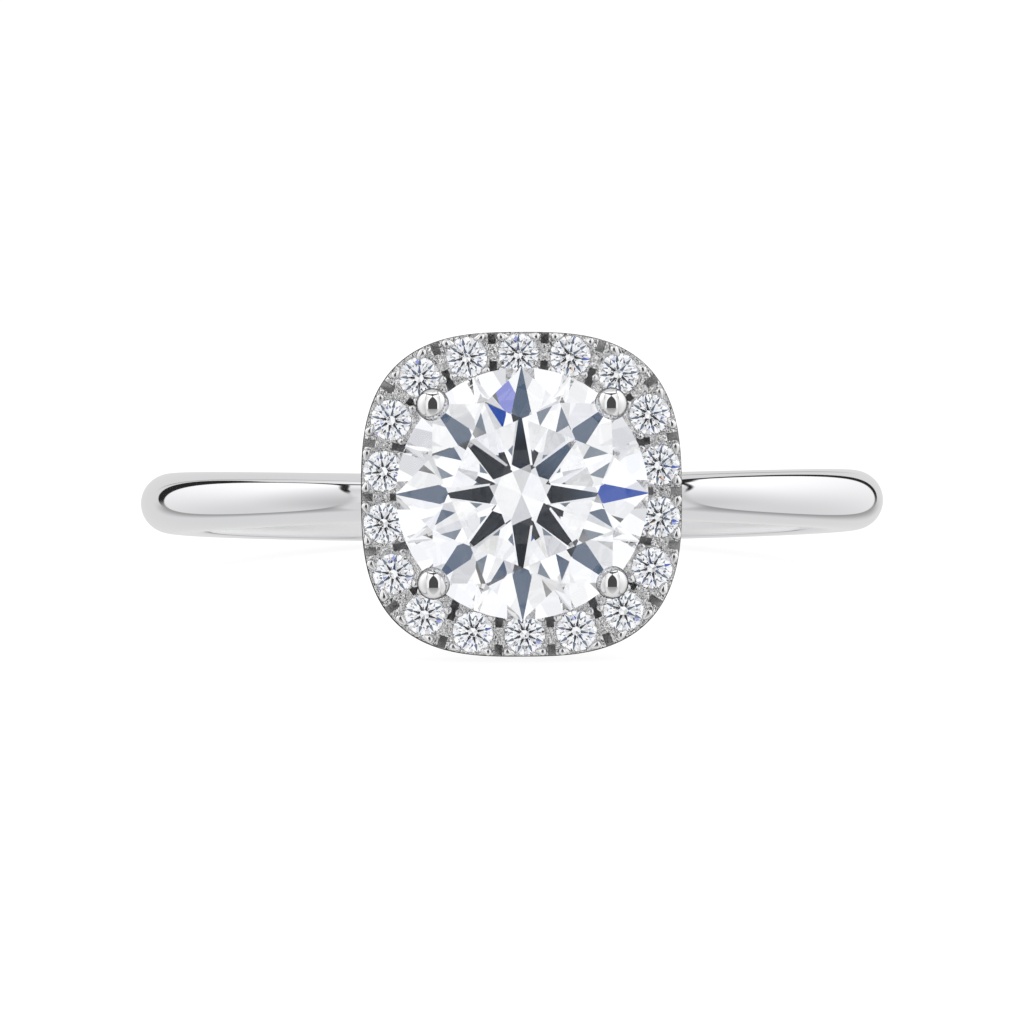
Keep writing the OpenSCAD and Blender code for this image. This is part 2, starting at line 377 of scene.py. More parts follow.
@dataclass(frozen=True)
class Place:
    """Where the ring lies: the matrix from its own axes in millimetres to the part's frame."""

    matrix: Matrix

    @classmethod
    def round_bore(cls, finger: dict) -> "Place":
        """Works the place out from the finger's bore.

        Args:
            finger: The bore, as the record's mounts state it.
        Returns:
            The place of the ring.
        """
        along = Vector(finger["axis"]).normalized()
        across = Vector((1, 0, 0))
        turn = Matrix((across, along, across.cross(along))).transposed().to_4x4()
        return cls(Matrix.Translation(finger["pos_m"]) @ turn @ Matrix.Scale(MM, 4))

    def axis(self, index: int) -> Vector:
        """Gives one of the ring's own axes in the part's frame, as a unit vector."""
        return self.matrix.to_3x3().col[index].normalized()

    def settle(self, mesh: Mesh, name: str, crease: float = 40.0) -> None:
        """Makes a mesh of the mounting a finished piece that rides on the part.

        Args:
            mesh: The mesh, in the ring's axes and in millimetres.
            name: The piece's name.
            crease: The angle in degrees past which an edge stays sharp.
        """
        mesh.transform(self.matrix)
        form = bmesh.new()
        form.from_mesh(mesh)
        meshed(form, mesh)
        mesh.shade_smooth()
        mesh.set_sharp_from_angle(angle=math.radians(crease))
        mesh.name = name
        piece = shown(name, mesh)
        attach(piece, "root")
        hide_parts("mounting")
        LOG.info("%s: %d faces", name, len(mesh.polygons))


@dataclass(frozen=True)
class WhiteGold:
    """Eighteen carat white gold under a rhodium plate, finished in one of a setter's ways.

    The plate makes it a neutral, slightly cool mirror. The way it was finished shows only in how
    sharp the mirror is and in the fine relief that the tool left.
    """

    name: str
    colour: str = "#f0f0f2"
    # What is left of the light at a glancing angle, where such a plate dims before it flares. A dark tint
    # here paints shade on a piece's rims, far past the plate's real dip
    edge: str = "#ffffff"
    roughness: float = 0.05
    # Size and depth of the relief that the finishing leaves, in millimetres
    grain: float = 0.5
    relief: float = 0.0
    # Rough spacing of the cutter's lines, in millimetres, where the finish has them
    lines: float = 0.0

    def material(self, place: Place) -> Material:
        """Makes the material.

        Args:
            place: Where the ring lies, for a pattern that keeps to the ring's own axes.
        Returns:
            The material.
        """
        material = principled(self.name, {"Base Color": linear(self.colour), "Roughness": self.roughness,
                                          "Specular Tint": linear(self.edge), "Metallic": 1.0})
        if self.relief:
            web = Web(material.node_tree)
            bump = web.node("ShaderNodeBump", {"Height": self.height(web, place), "Strength": 1.0,
                                               "Distance": self.relief * MM})
            web.tree.links.new(bump.outputs[0], web.tree.nodes["Principled BSDF"].inputs["Normal"])
        return material

    def height(self, web: Web, place: Place) -> Feed:
        """Draws the height of the relief.

        Args:
            web: The material's tree.
            place: Where the ring lies.
        Returns:
            The height, as a share of the relief's depth.
        """
        spot = web.node("ShaderNodeTexCoord").outputs["Object"]
        noise = web.node("ShaderNodeTexNoise", {"Vector": spot, "Scale": 1 / (self.grain * MM),
                                                "Detail": 2.0})
        if not self.lines:
            return noise
        own = web.node("ShaderNodeMapping", {"Vector": spot, "Rotation": tuple(place.matrix.to_euler())},
                       vector_type="NORMAL")
        wave = web.node("ShaderNodeTexWave", {"Vector": own, "Scale": 2 / (self.lines * MM * TURN),
                                              "Distortion": 1.5},
                        wave_type="BANDS", bands_direction="DIAGONAL")
        return web.number("wave + 0.4 * noise", wave=wave.outputs[1], noise=noise)


@dataclass(frozen=True)
class Diamond:
    """Colourless diamond, cut and polished.

    Its high index bends and throws back light, and a polished facet is as sharp a mirror as there is.
    """

    name: str = "polished_diamond"
    index: float = 2.417
    # What a polariser on the lens leaves of the glare off the facets
    glare_left: str = "#a0a0a0"

    def material(self) -> Material:
        """Makes the material, with every value set on the shader itself."""
        return principled(self.name, {"Base Color": WHITE, "Roughness": 0.0, "Transmission Weight": 1.0,
                                      "IOR": self.index, "Specular Tint": linear(self.glare_left)})


class Finishes:
    """The finishes of the ring."""

    def __init__(self, place: Place) -> None:
        """Makes each material once.

        Args:
            place: Where the ring lies.
        """
        self.place = place
        # Buffed to a mirror, with the faint waves that a felt wheel leaves
        self.polished = WhiteGold("polished_white_gold", roughness=0.04, grain=1.5,
                                  relief=0.0006).material(place)
        # Rounded under a cupped steel tool, which leaves claws and beads brighter than a felt wheel can. Its
        # dark edge tint is partly the plate's real dip at a glancing angle and partly painted shade, which
        # darkens the rims of claws, beads and the plate's bevel
        # The edge tint of #303030 is painted shade on the rims
        self.burnished = WhiteGold("burnished_white_gold", colour="#fcfcfd", edge="#303030",
                                   roughness=0.02).material(place)
        # Rubbed round a stick of fine paper on the inside of the finger hole
        self.satin = WhiteGold("satin_white_gold", colour="#fafafb", roughness=0.3, grain=0.08,
                               relief=0.001).material(place)
        # Shaved by a polished graver round each stone, so it flashes in small planes
        self.bright_cut = WhiteGold("bright_cut_white_gold", colour="#fefefe", roughness=0.03, grain=0.15,
                                    relief=0.16).material(place)
        # Left as the milling cutter leaves it. Its lines are drawn coarser than the real ones to show
        self.milled = WhiteGold("milled_white_gold", colour="#f4f4f5", roughness=0.2, grain=0.05,
                                relief=0.06, lines=0.09).material(place)
        self.diamond = Diamond().material()


@dataclass
class Shank:
    """The plain band: flat inside and at the sides, domed outside, and wider towards the palm."""

    bore_r: float
    finishes: Finishes
    thickness: float = 1.55
    dome: float = 0.85
    head_w: float = 1.13
    side_w: float = 1.65
    palm_w: float = 1.95
    # How late the width swells from the head to the sides, and from the sides to the palm
    head_swell: float = 1.5
    palm_swell: float = 1.3
    # Roundness of the inner corners, as the power of a rounded rectangle
    corner: float = 0.2
    # How far from the bore a face still belongs to the satin inside
    inside_depth: float = 0.02
    steps_round: int = 321
    steps_section: int = 81

    @property
    def crest_r(self) -> float:
        """Gives the radius of the dome's crest."""
        return self.bore_r + self.thickness

    def build(self) -> None:
        """Grows the band as one sheet that is bent to a section and then round the finger."""
        growth = Growth("shank", bore=self.bore_r, spring=self.crest_r - self.dome, dome=self.dome,
                        head=self.head_w, side=self.side_w, palm=self.palm_w, head_swell=self.head_swell,
                        palm_swell=self.palm_swell, corner=self.corner, inside_depth=self.inside_depth)
        bent = growth.numbers("""
            # The sheet's place round the finger and round the section
            turn = (x + 0.5) * TURN
            sweep = (y + 0.5) * TURN
            # The head's half of the band, and the palm's
            width = ((cos(turn) > 0) * (head + (side - head) * abs(sin(turn)) ** head_swell)
                     + (1 - (cos(turn) > 0)) * (side + (palm - side) * abs(cos(turn)) ** palm_swell))
            outside = sin(sweep) > 0
            across = width / 2 * sign(cos(sweep)) * abs(cos(sweep)) ** (outside + (1 - outside) * corner)
            radius = (spring + outside * dome * abs(sin(sweep))
                      - (1 - outside) * (spring - bore) * abs(sin(sweep)) ** corner)
            inside = radius < bore + inside_depth
            spot = (radius * sin(turn), across, radius * cos(turn))
            """)
        sheet = growth.node("GeometryNodeMeshGrid", {0: 1.0, 1: 1.0, 2: self.steps_round,
                                                     3: self.steps_section})
        marked = growth.kept(sheet, "FACE", inside=bent["inside"])
        ring = growth.node("GeometryNodeSetPosition", {0: marked, 2: bent["spot"]})
        closed = growth.node("GeometryNodeMergeByDistance", {0: ring, 2: WELD})
        inside = growth.number("inside > 0.5")
        mesh = growth.mesh(closed, [(self.finishes.polished, True), (self.finishes.satin, inside)])
        self.finishes.place.settle(mesh, "shank")


@dataclass
class Cut:
    """The proportions of a round brilliant that its seat needs."""

    crown_angle: float = 34.5
    pavilion_angle: float = 40.75
    girdle_share: float = 0.031

    def room(self, diameter: float, gap: float) -> Profile:
        """Gives the room that a stone takes, from its point up, with its girdle's foot at 0.

        Args:
            diameter: The stone's diameter.
            gap: How far the room lies outside the stone.
        Returns:
            The room's profile.
        """
        slope = math.tan(math.radians(self.pavilion_angle))
        lift = gap / math.cos(math.radians(self.pavilion_angle))
        radius = diameter / 2 + gap
        top = diameter * self.girdle_share + gap
        return [(0.0, -diameter / 2 * slope - lift), (radius, gap * slope - lift), (radius, top),
                (0.0, top + radius * math.tan(math.radians(self.crown_angle)))]


@dataclass
class Head:
    """The sizes that the parts of the head share."""

    crest_r: float
    centre_d: float
    cut: Cut = field(default_factory=Cut)
    # Room under the centre stone's point
    culet_room: float = 0.2
    # The plate: how far its face lies below the centre stone's girdle, its thickness, how far it
    # shows beside that stone and the power of its rounded outline
    drop: float = 0.45
    plate_t: float = 1.0
    show_x: float = 0.9
    show_y: float = 0.95
    squareness: float = 2.9
    # The row of stones: their size, count, distance from the rim, depth, gap and first bearing
    stone_d: float = 1.05
    stone_count: int = 18
    rim: float = 0.05
    sink: float = 0.08
    gap: float = 0.02
    first_stone: float = 91.0
    row_steps: int = 360

    @property
    def girdle_z(self) -> float:
        """Gives the height of the centre stone's girdle."""
        depth = self.centre_d / 2 * math.tan(math.radians(self.cut.pavilion_angle))
        return self.crest_r + self.culet_room + depth

    @property
    def face_z(self) -> float:
        """Gives the height of the plate's face."""
        return self.girdle_z - self.drop

    @property
    def half(self) -> tuple[float, float]:
        """Gives half the plate's size across the hand and along the finger."""
        return (self.centre_d / 2 + self.show_x, self.centre_d / 2 + self.show_y)

    @property
    def opening_r(self) -> float:
        """Gives the radius of the plate's opening, with two rims' width between it and the row."""
        return self.half[0] - 3 * self.rim - self.stone_d - self.gap

    def row_sizes(self) -> dict[str, float]:
        """Gives the sizes that row() needs in its tree."""
        inset = self.rim + self.stone_d / 2
        return {"row_x": self.half[0] - inset, "row_y": self.half[1] - inset, "squareness": self.squareness}

    def row(self, growth: Growth) -> tuple[Node, NodeSocket]:
        """Sets out the row of stones and the places half way between them.

        Args:
            growth: The tree that takes the row, with the sizes that row_sizes() gives.
        Returns:
            The points, stones at even numbers and grooves at odd ones, and the turn of each about z.
        """
        circle = growth.node("GeometryNodeCurvePrimitiveCircle", {0: self.row_steps})
        spot = growth.number("""
            way = rad(first + i * 360 / steps)
            power = abs(cos(way) / row_x) ** squareness + abs(sin(way) / row_y) ** squareness
            reach = 1 / power ** (1 / squareness)
            (reach * cos(way), reach * sin(way), face)
            """, first=self.first_stone, steps=float(self.row_steps), face=self.face_z)
        path = growth.node("GeometryNodeSetPosition", {0: circle, 2: spot})
        points = growth.node("GeometryNodeCurveToPoints", {0: path, 1: 2 * self.stone_count}, mode="COUNT")
        run = growth.node("ShaderNodeSeparateXYZ", {0: points.outputs["Tangent"]})
        return points, growth.number("atan2(-y, -x)", x=run.outputs[0], y=run.outputs[1])


@dataclass
class Basket:
    """The claws, the rail that joins them and the collar that they stand on."""

    head: Head
    finishes: Finishes
    claws: int = 4
    claw_d: float = 0.62
    claw_sides: int = 48
    # The bend at a claw's elbow
    bend_r: float = 0.5
    bend_steps: int = 12
    tip_d: float = 0.85
    tip_rise: float = 0.17
    tip_steps: int = 64
    # Gap between the claws and the centre stone, and steps round the room that is cut for it
    stone_gap: float = 0.04
    room_steps: int = 192
    collar_d: float = 2.4
    collar_rise: float = 0.1
    # How far the collar reaches down into the shank
    collar_root: float = 0.7
    # The collar's broken edges
    collar_edge: float = 0.08
    edge_steps: int = 6
    collar_steps: int = 128
    rail_d: float = 0.6
    # Where the rail crosses a claw, between its foot and its elbow
    rail_share: float = 0.45
    rail_steps: int = 160
    rail_sides: int = 40

    def way(self) -> Profile:
        """Gives the line of a claw as (radius, height) at its foot, its elbow and its tip."""
        head = self.head
        top_r = head.centre_d / 2
        foot = (self.collar_d / 2 - self.claw_d / 2 - head.rim, head.crest_r - self.collar_root / 2)
        tip_z = head.girdle_z + head.centre_d * head.cut.girdle_share + self.tip_rise
        return [foot, (top_r, head.girdle_z - self.claw_d / 4), (top_r, tip_z)]

    def build_claws(self) -> None:
        """Bends one claw, cuts it to the stone and sets it four times round the head."""
        head = self.head
        line = bpy.data.meshes.new("claw_line")
        line.from_pydata([(r, 0, z) for r, z in self.way()], [(0, 1), (1, 2)], [])
        room = [(r, z + head.girdle_z) for r, z in head.cut.room(head.centre_d, self.stone_gap)]
        stone = shown("room", lathe(room, self.room_steps))
        growth = Growth("claws", wire=self.claw_d / 2, tip=self.tip_d / 2, bend=self.bend_r)
        curve = growth.node("GeometryNodeMeshToCurve", {0: growth.start})
        bent = growth.node("GeometryNodeFilletCurve", {0: curve, 1: self.bend_steps, 2: growth.names["bend"]},
                           mode="POLY")
        section = growth.node("GeometryNodeCurvePrimitiveCircle", {0: self.claw_sides,
                                                                   4: growth.names["wire"]})
        wire = growth.node("GeometryNodeCurveToMesh", {0: bent, 1: section, "Fill Caps": True})
        ball = growth.node("GeometryNodeMeshUVSphere", {0: self.tip_steps, 1: self.tip_steps // 2,
                                                        2: growth.names["tip"]})
        tip_r, tip_z = self.way()[-1]
        raised = growth.node("GeometryNodeTransform", {0: ball, "Translation": (tip_r, 0.0, tip_z)})
        whole = growth.node("GeometryNodeMeshBoolean", {1: [wire, raised], "Self Intersection": True},
                            operation="UNION", solver="EXACT")
        space = growth.node("GeometryNodeObjectInfo", {0: stone})
        fitted = growth.node("GeometryNodeMeshBoolean", {0: whole, 1: space.outputs["Geometry"]},
                             operation="DIFFERENCE", solver="EXACT")
        spots = growth.node("GeometryNodePoints", {0: self.claws})
        facing = growth.about_z("(i + 0.5) * TURN / count", count=float(self.claws))
        four = growth.node("GeometryNodeInstanceOnPoints", {0: spots, 2: fitted, 5: facing})
        mesh = growth.mesh(four, [(self.finishes.burnished, True)], line)
        bpy.data.objects.remove(stone)
        self.finishes.place.settle(mesh, "claws")

    def build_rail(self) -> None:
        """Sweeps the rail's wire round the head, where it crosses the claws."""
        foot, elbow, _ = self.way()
        radius, height = (f + self.rail_share * (e - f) for f, e in zip(foot, elbow))
        growth = Growth("gallery_rail", reach=radius, wire=self.rail_d / 2)
        circle, section = (growth.node("GeometryNodeCurvePrimitiveCircle", {0: steps, 4: growth.names[size]})
                           for steps, size in ((self.rail_steps, "reach"), (self.rail_sides, "wire")))
        swept = growth.node("GeometryNodeCurveToMesh", {0: circle, 1: section})
        raised = growth.node("GeometryNodeTransform", {0: swept, "Translation": (0.0, 0.0, height)})
        mesh = growth.mesh(raised, [(self.finishes.polished, True)])
        self.finishes.place.settle(mesh, "gallery_rail")

    def build_collar(self) -> None:
        """Turns the collar, with its edges broken."""
        low = self.head.crest_r - self.collar_root
        high = self.head.crest_r + self.collar_rise
        radius, edge = self.collar_d / 2, self.collar_edge
        quarter = [TURN / 4 * i / self.edge_steps for i in range(self.edge_steps + 1)]
        upper = [(radius - edge * (1 - math.cos(a)), high - edge + edge * math.sin(a)) for a in quarter]
        lower = [(r, low + high - z) for r, z in reversed(upper)]
        mesh = lathe([(0.0, low), *lower, *upper, (0.0, high)], self.collar_steps)
        mesh.materials.append(self.finishes.polished)
        self.finishes.place.settle(mesh, "collar")

    def build(self) -> None:
        """Builds the three parts of the basket."""
        self.build_collar()
        self.build_rail()
        self.build_claws()


@dataclass
class Halo:
    """The cushion plate with its seats, notches and setting beads."""

    head: Head
    finishes: Finishes
    edge: float = 0.05
    # The burnished bevel round the plate's face, so steep that the finish's painted rim shade shows on it as
    # a thin dark outline
    bevel_w: float = 0.025
    bevel_depth: float = 0.2
    steps: int = 240
    # An edge of the plate stays sharp past this angle, so that each plane of the bright cut shows
    plate_crease: float = 4.0
    hole_d: float = 0.5
    # The bright-cut slope round a seat: its width, its depth and how far the graver strays
    flare_w: float = 0.12
    flare_depth: float = 0.078
    flare_stray: float = 0.05
    flare_facets: int = 32
    # The two milled notches between two seats, which leave a bridge near the row's middle
    notch_w: float = 0.21
    notch_floor_share: float = 0.8
    notch_depth: float = 0.07
    inner_from: float = 0.17
    outer_from: float = 0.27
    # The beads: thickness, distance from the stone's middle, height and bearing off the row
    bead_d: float = 0.25
    bead_reach: float = 0.63
    bead_rise: float = 0.02
    bead_bearing: float = 44.0
    # How long a bead's tail is drawn, how much thinner it ends, and how long an inner bead is
    bead_tail: float = 1.7
    bead_slim: float = 0.35
    inner_bead_share: float = 0.74
    # How far the beads stray in their turn, in radians, and in their size
    bead_turns: tuple[float, float] = (-0.3, 0.3)
    bead_sizes: tuple[float, float] = (0.9, 1.06)
    bead_steps: int = 28
    bead_rings: int = 18
    bead_crease: float = 80.0

    def cushion(self, inset: float) -> Callable[[float], float]:
        """Gives the reach of the plate's outline in a direction.

        Args:
            inset: How far inside the outline it lies.
        Returns:
            A function from a direction in radians to a distance from the middle.
        """
        x, y = (h - inset for h in self.head.half)
        power = self.head.squareness
        return lambda a: (abs(math.cos(a) / x) ** power + abs(math.sin(a) / y) ** power) ** (-1 / power)

    def blank(self) -> Mesh:
        """Lofts the plate before it is drilled, with its edges broken.

        Returns:
            The plate as a mesh, with the finish of each band of its faces.
        """
        top, low, edge = self.head.face_z, self.head.face_z - self.head.plate_t, self.edge
        hole = self.head.opening_r
        polished, bright_cut, burnished = range(3)
        # Each loop's reach and height, and the finish of the band from it to the next loop
        loops: list[tuple[Callable[[float], float], float, int]] = [
            (lambda a: hole + edge, low, polished),
            (lambda a: hole, low + edge, polished),
            (lambda a: hole, top - edge, polished),
            (lambda a: hole + edge, top, bright_cut),
            (self.cushion(self.bevel_w), top, burnished),
            (self.cushion(0.0), top - self.bevel_depth, polished),
            (self.cushion(0.0), low + edge, polished),
            (self.cushion(edge), low, polished)]
        ways = [TURN * i / self.steps for i in range(self.steps)]
        form = bmesh.new()
        rings = [[form.verts.new((reach(a) * math.cos(a), reach(a) * math.sin(a), height)) for a in ways]
                 for reach, height, _ in loops]
        for ring, following, (_, _, slot) in zip(rings, rings[1:] + rings[:1], loops):
            skin(form, ring, following, slot)
        mesh = meshed(form, bpy.data.meshes.new("halo_plate"))
        for finish in (self.finishes.polished, self.finishes.bright_cut, self.finishes.burnished):
            mesh.materials.append(finish)
        return mesh

    def repeat(self, name: str, shape: Mesh, first: int, finish: Material) -> Mesh:
        """Repeats a shape along the row.

        Args:
            name: The tree's name.
            shape: The shape, with x along the row and z = 0 at the plate's face.
            first: 0 for the stones' places, 1 for the places between them.
            finish: The material of its faces.
        Returns:
            All the shapes as one mesh.
        """
        growth = Growth(name, **self.head.row_sizes())
        points, turn = self.head.row(growth)
        placed = growth.node("GeometryNodeInstanceOnPoints", {
            0: points, 1: growth.number("abs(mod(i, 2) - first) < 0.5", first=float(first)),
            2: growth.start, 5: growth.about_z("turn", turn=turn)})
        return growth.mesh(placed, [(finish, True)], shape)

    def seat(self) -> Mesh:
        """Turns the cutter for one seat: hole, cone, wall and the bright-cut flare above it.

        Returns:
            The cutter as a mesh.
        """
        head = self.head
        (_, point_z), (wall_r, wall_z) = head.cut.room(head.stone_d, head.gap)[:2]
        hole_r = self.hole_d / 2
        cone_z = point_z + hole_r * math.tan(math.radians(head.cut.pavilion_angle))
        deep = -head.plate_t - OVERCUT
        lip = self.edge / 4
        flare_r = wall_r + self.flare_w * (1 + lip / self.flare_depth)
        mesh = lathe([(0.0, deep), (hole_r, deep), (hole_r, cone_z - head.sink), (wall_r, wall_z - head.sink),
                      (wall_r, -self.flare_depth), (flare_r, lip), (flare_r, OVERCUT), (0.0, OVERCUT)],
                     self.flare_facets)
        stray = random.Random(SEED)
        for corner in mesh.vertices:
            if abs(corner.co.z + self.flare_depth) < lip:
                corner.co.z += stray.uniform(0, self.flare_stray)
        return mesh

    def notches(self) -> Mesh:
        """Makes the cutter for the two notches between two seats, narrower at their floors.

        Returns:
            The cutter as a mesh.
        """
        length = self.head.stone_d
        top = self.notch_w / 2
        floor = top * self.notch_floor_share
        profile = [(-floor, -self.notch_depth), (floor, -self.notch_depth), (top, 0.0), (top, OVERCUT),
                   (-top, OVERCUT), (-top, 0.0)]
        form = bmesh.new()
        for start, stop in ((-length, -self.inner_from), (self.outer_from, length)):
            ends = [[form.verts.new((x, y, z)) for x, z in profile] for y in (start, stop)]
            skin(form, *ends)
            for end in ends:
                form.faces.new(end)
        return meshed(form, bpy.data.meshes.new("notches"))

    def build_plate(self) -> None:
        """Drills and cuts the plate."""
        seats = self.repeat("seats", self.seat(), 0, self.finishes.bright_cut)
        notches = self.repeat("notches", self.notches(), 1, self.finishes.milled)
        plate = cut(self.blank(), [seats, notches])
        self.finishes.place.settle(plate, "halo_plate", crease=self.plate_crease)

    def build_beads(self) -> None:
        """Raises four drop-shaped beads round each stone."""
        bearing = math.radians(self.bead_bearing)
        spots = bpy.data.meshes.new("bead_spots")
        spots.from_pydata([(s * self.bead_reach * math.cos(bearing), t * self.bead_reach * math.sin(bearing),
                            self.bead_rise) for s in (-1, 1) for t in (-1, 1)], [], [])
        growth = Growth("beads", **self.head.row_sizes(), bead=self.bead_d / 2, tail=self.bead_tail,
                        inner=self.inner_bead_share, slim=self.bead_slim)
        points, row_turn = self.head.row(growth)
        marks = growth.numbers("""
            # Each tail points along the row to its own stone, and the beads on the inner side are shorter
            tail_turn = (x > 0) * TURN / 2
            length = 1 - (y < 0) * (1 - inner)
            """)
        four = growth.kept(growth.start, "POINT", tail_turn=marks["tail_turn"], length=marks["length"])
        sets = growth.node("GeometryNodeInstanceOnPoints", {
            0: growth.kept(points, "POINT", row_turn=row_turn), 1: growth.number("mod(i, 2) < 0.5"),
            2: four, 5: growth.about_z("turn", turn=row_turn)})
        loose = growth.node("GeometryNodeRealizeInstances", {0: sets})
        ranges = {"stray": self.bead_turns, "full": self.bead_sizes}
        for seed, (name, (least, most)) in enumerate(ranges.items(), SEED):
            drawn = growth.node("FunctionNodeRandomValue", {2: least, 3: most, "Seed": seed},
                                data_type="FLOAT")
            growth.names[name] = drawn.outputs[1]
        ball = growth.node("GeometryNodeMeshUVSphere", {0: self.bead_steps, 1: self.bead_rings,
                                                        2: growth.names["bead"]})
        drop = growth.node("GeometryNodeSetPosition", {0: ball, 2: growth.number("""
            thin = 1 - slim * max(x, 0) / bead
            (x * (1 + (x > 0) * (tail - 1)), y * thin, z * thin)
            """)})
        beads = growth.node("GeometryNodeInstanceOnPoints", {
            0: loose, 2: drop, 5: growth.about_z("row_turn + tail_turn + stray"),
            6: growth.number("(full * length, full, full)")})
        mesh = growth.mesh(beads, [(self.finishes.burnished, True)], spots)
        self.finishes.place.settle(mesh, "setting_beads", crease=self.bead_crease)

    def build(self) -> None:
        """Builds the plate and its beads."""
        self.build_plate()
        self.build_beads()


@dataclass
class Stones:
    """The brilliants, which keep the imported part's own facets."""

    finishes: Finishes
    nodes: dict[str, Object]

    def dress(self) -> None:
        """Gives each stone the diamond material."""
        for name, stone in sorted(self.nodes.items()):
            if "stone" in name:
                stone.data.materials.clear()
                stone.data.materials.append(self.finishes.diamond)
                LOG.info("%s: dressed", name)


@dataclass(frozen=True)
class Softbox:
    """A softbox beside the ring as the metal mirrors it, in degrees round the head's axis and up."""

    side: float
    near: float
    far: float
    low: float = -51.0
    high: float = 59.0
    # Roundness of its far upper corner, as the power of a rounded rectangle
    corner: float = 2.6
    # How much darker its near end is
    dim: float = 0.33
    # Widths of its black frame at the far and the near upper corner, as shares of its half size
    frame: float = 0.22
    near_frame: float = 0.035

    def over(self, sky: Web, behind: NodeSocket) -> NodeSocket:
        """Puts the softbox in front of what is behind it.

        Args:
            sky: The world's tree.
            behind: The brightness behind it.
        Returns:
            The brightness with the softbox.
        """
        return sky.number("""
            # The place on the softbox, from -1 at its near end and foot to 1, and its bearing
            u = (a - (near + far) / 2) / ((far - near) / 2)
            v = (h - (low + high) / 2) / ((high - low) / 2)
            b = deg(atan2(v, u))
            # How far out it lies, with the rounded outline at 1
            upper = v > 0
            power = (u > 0) * (2 + upper * (corner - 2)) + (1 - (u > 0)) * (2.35 - 0.5 * upper)
            out = (abs(u) ** power + abs(v) ** power) ** (1 / power)
            # The lit cloth, whose edge is softer at the lower near end
            soft = (1 - rise(u, -0.95, -0.7)) * (1 - rise(v, 0, 0.3))
            inside = 1 - rise(out, 0.985 - 0.03 * soft, 1.01 + 0.03 * soft)
            glow = (0.75 + 0.45 * rise(h, -40, 60)) * (1 - dim * (1 - rise(a, near, near + 45)))
            # The black frame over it, widest at the upper corners
            line = (0.015 + 0.03 * rise(u, -0.9, 0.2)
                    + near_frame * rise(b, 95, 130) * (1 - rise(b, 145, 165))
                    + frame * rise(b, -15, 22) * (1 - rise(b, 22, 50)))
            black = ((1 - rise(out, 1 + line, 1.015 + line)) * rise(b, -15, 0)
                     * (1 - 0.85 * rise(b, 145, 168)))
            # A thin grey line past the frame, and the shade below the softbox
            lip = rise(out, 1.3, 1.32) * (1 - rise(out, 1.35, 1.37)) * rise(b, 5, 15) * (1 - rise(b, 70, 80))
            shade = ((1 - rise(out, 1, 1.1 + 0.2 * rise(u, -0.6, 0))) * (1 - rise(b, -15, 0))
                     * (0.4 + 0.6 * rise(u, -0.9, -0.3)))
            around = behind * (1 - 0.97 * black) * (1 - 0.4 * lip) * (1 - 0.52 * shade)
            mine = right * side > 0
            mine * (inside * glow + (1 - inside) * around) + (1 - mine) * behind
            """, **vars(self), behind=behind)


@dataclass(frozen=True)
class Glint:
    """A small coloured thing in the room: its angle off the head's axis, bearing and size, in degrees."""

    off: float
    bearing: float
    size: float
    colour: str

    def way(self) -> Way:
        """Gives the direction to it in the ring's own axes."""
        off, bearing = math.radians(self.off), math.radians(self.bearing)
        return (math.sin(off) * math.cos(bearing), math.sin(off) * math.sin(bearing), math.cos(off))


